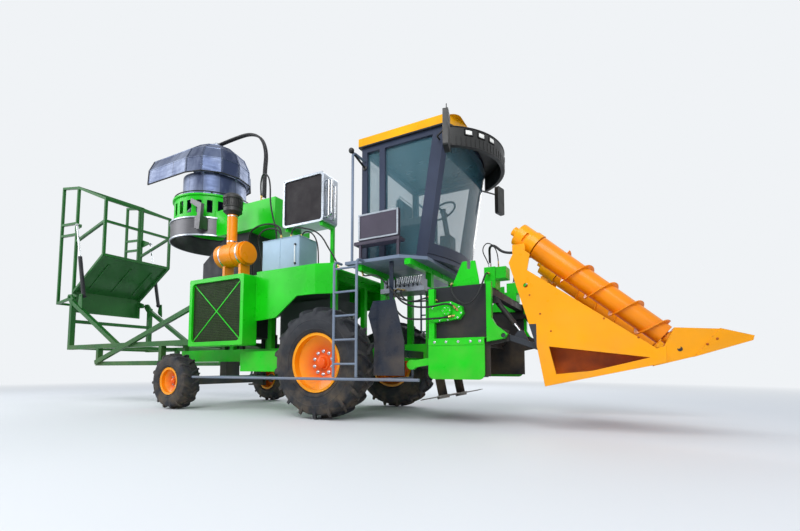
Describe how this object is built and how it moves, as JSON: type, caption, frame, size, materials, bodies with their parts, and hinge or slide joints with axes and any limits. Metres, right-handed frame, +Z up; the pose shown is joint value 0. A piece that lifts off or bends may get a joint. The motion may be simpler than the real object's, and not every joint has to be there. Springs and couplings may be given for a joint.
{
  "type": "sugarcane harvester",
  "caption": "Wheeled sugarcane harvester with crop dividers, slewing extractor hood and rear tipping basket.",
  "frame": {"origin": "on the ground under the middle of the machine's length and width", "axes": "+X ahead, +Y to the machine's left, +Z up"},
  "size_m": [12.245, 2.614, 5.0782],
  "materials": {
    "green_paint": "gloss",
    "dark_green_paint": "gloss",
    "amber_paint": "gloss",
    "orange_paint": "gloss",
    "yellow_paint": "gloss",
    "grey_blue_paint": "satin",
    "slate_paint": "satin",
    "black_paint": "satin",
    "tyre_rubber": "matte",
    "cast_grey": "matte",
    "valve_steel": "satin",
    "dark_mesh": "matte",
    "bare_metal": "satin",
    "black_plastic": "matte",
    "cab_glazing": "clear",
    "seat_fabric": "matte",
    "cutter_steel": "satin",
    "rod_chrome": "polished",
    "hose_rubber": "satin"
  },
  "bodies": {
    "chassis": {"main_frame": "green_paint", "front_axle": "cast_grey", "rear_axle": "cast_grey", "engine": "cast_grey", "valve_bank": "valve_steel", "side_panels": "green_paint", "screen_mesh": "dark_mesh", "oil_tank": "grey_blue_paint", "radiator_frame": "bare_metal", "radiator_core": "dark_mesh", "air_cleaner": "yellow_paint", "pre_cleaner": "black_plastic", "discharge_duct": "black_paint", "extractor_base": "bare_metal", "extractor_ring": "green_paint", "cab_frame": "slate_paint", "cab_glass": "cab_glazing", "cab_roof": "yellow_paint", "visor_and_mirrors": "black_plastic", "seat_cushions": "seat_fabric", "cab_interior": "black_plastic", "platforms": "grey_blue_paint", "ladders_and_rails": "grey_blue_paint", "condenser": "grey_blue_paint", "wheel_shields": "black_paint", "feed_throat": "black_paint", "front_frame": "green_paint", "base_cutter": "black_paint", "rear_frame": "dark_green_paint", "hood_hoses": "hose_rubber", "divider_hoses": "hose_rubber"},
    "front_wheel_right": {"front_tyre_right": "tyre_rubber", "front_rim_right": "orange_paint"},
    "front_wheel_left": {"front_tyre_left": "tyre_rubber", "front_rim_left": "orange_paint"},
    "rear_wheel_right": {"rear_tyre_right": "tyre_rubber", "rear_rim_right": "orange_paint"},
    "rear_wheel_left": {"rear_tyre_left": "tyre_rubber", "rear_rim_left": "orange_paint"},
    "steer_knuckle_right": {"knuckle_right": "cast_grey"},
    "steer_knuckle_left": {"knuckle_left": "cast_grey"},
    "door": {"door_frame": "slate_paint", "door_glass": "cab_glazing"},
    "hood": {"extractor_hood": "grey_blue_paint", "fan_motor": "valve_steel"},
    "fan": {"extractor_fan": "valve_steel"},
    "divider_pair": {"dividers": "amber_paint"},
    "crop_scroll_right": {"scroll_right": "amber_paint"},
    "crop_scroll_left": {"scroll_left": "amber_paint"},
    "divider_barrels": {"lift_barrels": "black_paint"},
    "divider_rods": {"lift_rods": "rod_chrome"},
    "roller": {"knockdown_roller": "black_paint"},
    "disc_right": {"cutter_disc_right": "cutter_steel"},
    "disc_left": {"cutter_disc_left": "cutter_steel"},
    "cane_basket": {"basket": "dark_green_paint"},
    "tipping_barrels": {"basket_barrels": "black_paint"},
    "tipping_rods": {"basket_rods": "rod_chrome"}
  },
  "joints": [
    {"name": "front_wheel_spin_right", "type": "hinge", "parent": "chassis", "child": "front_wheel_right", "pos_m": [1.6925, -0.985, 0.72], "axis": [0, 1, 0], "continuous": true},
    {"name": "front_wheel_spin_left", "type": "hinge", "parent": "chassis", "child": "front_wheel_left", "pos_m": [1.6925, 0.985, 0.72], "axis": [0, 1, 0], "continuous": true},
    {"name": "steering_right", "type": "hinge", "parent": "chassis", "child": "steer_knuckle_right", "pos_m": [-1.2575, -0.72, 0.445], "axis": [0, 0, 1], "range_deg": [-30, 30]},
    {"name": "rear_wheel_spin_right", "type": "hinge", "parent": "steer_knuckle_right", "child": "rear_wheel_right", "pos_m": [-1.2575, -1.045, 0.445], "axis": [0, 1, 0], "continuous": true},
    {"name": "steering_left", "type": "hinge", "parent": "chassis", "child": "steer_knuckle_left", "pos_m": [-1.2575, 0.72, 0.445], "axis": [0, 0, 1], "range_deg": [-30, 30]},
    {"name": "rear_wheel_spin_left", "type": "hinge", "parent": "steer_knuckle_left", "child": "rear_wheel_left", "pos_m": [-1.2575, 1.045, 0.445], "axis": [0, 1, 0], "continuous": true},
    {"name": "door_swing", "type": "hinge", "parent": "chassis", "child": "door", "pos_m": [2.4955, 0.8125, 2.8], "axis": [0, 0, 1], "range_deg": [0, 80]},
    {"name": "hood_turn", "type": "hinge", "parent": "chassis", "child": "hood", "pos_m": [-1.8075, 0, 3.775], "axis": [0, 0, 1], "range_deg": [-60, 60]},
    {"name": "fan_spin", "type": "hinge", "parent": "hood", "child": "fan", "pos_m": [-1.8075, 0, 3.56], "axis": [0, 0, 1], "continuous": true},
    {"name": "roller_spin", "type": "hinge", "parent": "chassis", "child": "roller", "pos_m": [3.5025, 0, 1.075], "axis": [0, 1, 0], "continuous": true},
    {"name": "cutter_spin_right", "type": "hinge", "parent": "chassis", "child": "disc_right", "pos_m": [3.0925, -0.33, 0.3], "axis": [-0.2079, 0, 0.9781], "continuous": true},
    {"name": "cutter_spin_left", "type": "hinge", "parent": "chassis", "child": "disc_left", "pos_m": [3.0925, 0.33, 0.3], "axis": [-0.2079, 0, 0.9781], "continuous": true},
    {"name": "divider_lift", "type": "hinge", "parent": "chassis", "child": "divider_pair", "pos_m": [4.0325, 0, 0.995], "axis": [0, 1, 0], "range_deg": [0, 20]},
    {"name": "scroll_spin_right", "type": "hinge", "parent": "divider_pair", "child": "crop_scroll_right", "pos_m": [4.8925, -0.785, 1.47716], "axis": [0.75, 0, -0.6615], "continuous": true},
    {"name": "scroll_spin_left", "type": "hinge", "parent": "divider_pair", "child": "crop_scroll_left", "pos_m": [4.8925, 0.785, 1.47716], "axis": [0.75, 0, -0.6615], "continuous": true},
    {"name": "divider_barrel_swing", "type": "hinge", "parent": "chassis", "child": "divider_barrels", "pos_m": [3.9185, 0, 1.398], "axis": [0, 1, 0], "range_deg": [0, 3.7]},
    {"name": "divider_rod_slide", "type": "slide", "parent": "divider_barrels", "child": "divider_rods", "axis": [0.5857, 0, -0.8105], "range_m": [0, 0.047]},
    {"name": "basket_tip", "type": "hinge", "parent": "chassis", "child": "cane_basket", "pos_m": [-5.2975, 0, 2.17], "axis": [0, -1, 0], "range_deg": [0, 50]},
    {"name": "tipping_barrel_swing", "type": "hinge", "parent": "chassis", "child": "tipping_barrels", "pos_m": [-4.7875, 0, 2.15], "axis": [0, -1, 0], "range_deg": [0, 42.2]},
    {"name": "tipping_rod_slide", "type": "slide", "parent": "tipping_barrels", "child": "tipping_rods", "axis": [-0.2582, 0, 0.9661], "range_m": [0, 0.358]}
  ],
  "couplings": [
    {"joint": "steering_left", "follows": "steering_right", "ratio": 1},
    {"joint": "cutter_spin_left", "follows": "cutter_spin_right", "ratio": -1},
    {"joint": "divider_barrel_swing", "follows": "divider_lift", "ratio": 0.1782},
    {"joint": "divider_rod_slide", "follows": "divider_lift", "m_per_rad": 0.1344},
    {"joint": "tipping_barrel_swing", "follows": "basket_tip", "ratio": 0.8426},
    {"joint": "tipping_rod_slide", "follows": "basket_tip", "m_per_rad": 0.4091}
  ]
}
